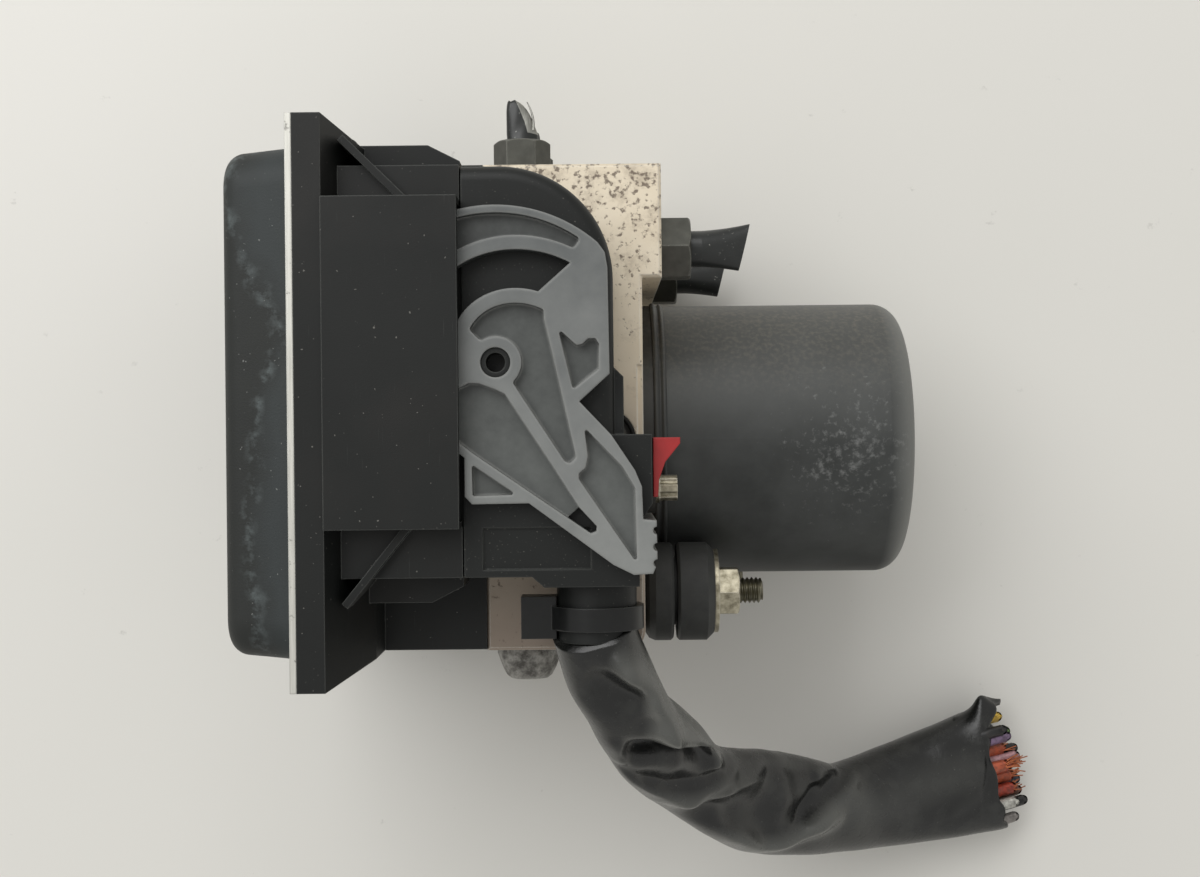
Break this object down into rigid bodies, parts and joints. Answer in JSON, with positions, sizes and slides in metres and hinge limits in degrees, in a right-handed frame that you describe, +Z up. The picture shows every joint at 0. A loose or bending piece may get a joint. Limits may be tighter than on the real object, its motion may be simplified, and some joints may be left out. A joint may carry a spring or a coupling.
{
  "type": "abs brake module",
  "caption": "Anti-lock brake hydraulic unit: valve block with control unit, pump motor, cut brake pipes, rubber mounts and a lever-locked harness plug with its cut sleeve",
  "frame": {"origin": "on the resting face of the valve block, under the pump motor's axis", "axes": "+X from the control unit to the pump motor, +Y from the locating bush to the wheel pipe unions, +Z up to the harness plug; -Z is the resting face's normal"},
  "size_m": [0.1869, 0.1828, 0.129],
  "materials": {
    "aluminium_block": "extruded and machined, lightly stained",
    "black_pbt": "moulded satin black, glass filled",
    "grained_cover": "fine moulded grain, dusty, with a dried water stain",
    "aluminium_sheet": "bright sheared sheet",
    "coated_steel_can": "dark passivated deep-drawn steel with oxide spots",
    "steel": "turned or ground steel",
    "dark_zinc_steel": "black zinc plated",
    "zinc_steel": "yellowish zinc plated",
    "pipe_steel": "coated brake pipe, bare where cut",
    "bearing_bronze": "sintered",
    "copper": "bare copper",
    "rubber": "satin moulded rubber",
    "silicone_seal": "soft silicone",
    "grey_lever": "moulded grey, scuffed",
    "black_plug": "moulded satin black",
    "red_lock": "moulded red, translucent at the edge",
    "nylon_tie": "smooth black nylon",
    "sleeve_vinyl": "creased semi-gloss black vinyl sleeve",
    "wire_insulation": "coloured insulation, bare copper at the cut",
    "circuit_board": "solder mask",
    "carbon": "pressed carbon",
    "ferrite": "sintered ferrite",
    "amber_moulding": "moulded resin"
  },
  "bodies": {
    "unit": {"hydraulic_block": "aluminium_block", "valve_stems": "steel", "solenoid_coils": "amber_moulding", "pump_pistons": "steel", "pump_springs": "steel", "pump_plugs": "aluminium_block", "accumulator_caps": "aluminium_sheet", "ball_plugs": "aluminium_block", "wheel_pipe_nuts": "dark_zinc_steel", "wheel_pipe_stubs": "pipe_steel", "inlet_pipe_nuts": "dark_zinc_steel", "inlet_pipe_stubs": "pipe_steel", "motor_can": "coated_steel_can", "motor_bolts": "zinc_steel", "motor_bearings": "bearing_bronze", "motor_seal": "rubber", "motor_magnets": "ferrite", "brushes": "carbon", "brush_plate": "black_pbt", "motor_lead_sleeves": "black_pbt", "motor_leads": "copper", "mount_rubbers": "rubber", "mount_sleeves": "steel", "mount_washers": "zinc_steel", "mount_nuts": "zinc_steel", "mount_studs": "zinc_steel", "locator_pin": "steel", "locator_bush": "rubber", "locator_ring": "steel", "ecu_cover": "grained_cover", "ecu_plate": "aluminium_sheet", "ecu_housing": "black_pbt", "ecu_seal": "silicone_seal", "ecu_screws": "zinc_steel", "circuit_board": "circuit_board", "board_components": "carbon", "header_pins": "copper", "upper_accumulator_spring": "steel", "lower_accumulator_spring": "steel"},
    "plug": {"plug_cover": "black_plug", "plug_housing": "black_plug", "plug_seal": "silicone_seal", "wire_terminals": "copper", "wire_bundle": "wire_insulation", "cable_tie": "nylon_tie", "harness_sleeve": "sleeve_vinyl", "wire_ends": "wire_insulation"},
    "lever": {"lever": "grey_lever"},
    "lock": {"lock_slide": "red_lock"},
    "rotor": {"motor_shaft": "steel", "eccentric_bearing": "steel", "commutator": "copper", "armature": "steel", "windings": "copper"},
    "upper_accumulator": {"upper_accumulator_piston": "aluminium_sheet"},
    "lower_accumulator": {"lower_accumulator_piston": "aluminium_sheet"}
  },
  "joints": [
    {"name": "plug_slide", "type": "slide", "parent": "unit", "child": "plug", "axis": [1, 0, 0], "range_m": [0, 0.00783]},
    {"name": "lever_swing", "type": "hinge", "parent": "plug", "child": "lever", "pos_m": [-0.0203, 0.0155, 0.108], "axis": [0, 0, 1], "range_deg": [0, 110]},
    {"name": "lock_slide", "type": "slide", "parent": "plug", "child": "lock", "axis": [0, 1, 0], "range_m": [0, 0.005]},
    {"name": "rotor_spin", "type": "hinge", "parent": "unit", "child": "rotor", "pos_m": [0.04, 0, 0.046], "axis": [1, 0, 0], "continuous": true},
    {"name": "upper_accumulator_slide", "type": "slide", "parent": "unit", "child": "upper_accumulator", "axis": [0, -1, 0], "range_m": [0, 0.008], "stiffness_N_per_m": 2000, "springref_m": -0.004, "deforming": ["upper_accumulator_spring"]},
    {"name": "lower_accumulator_slide", "type": "slide", "parent": "unit", "child": "lower_accumulator", "axis": [0, -1, 0], "range_m": [0, 0.008], "stiffness_N_per_m": 2000, "springref_m": -0.004, "deforming": ["lower_accumulator_spring"]}
  ],
  "couplings": [
    {"joint": "lever_swing", "follows": "plug_slide", "rad_per_m": 245}
  ]
}
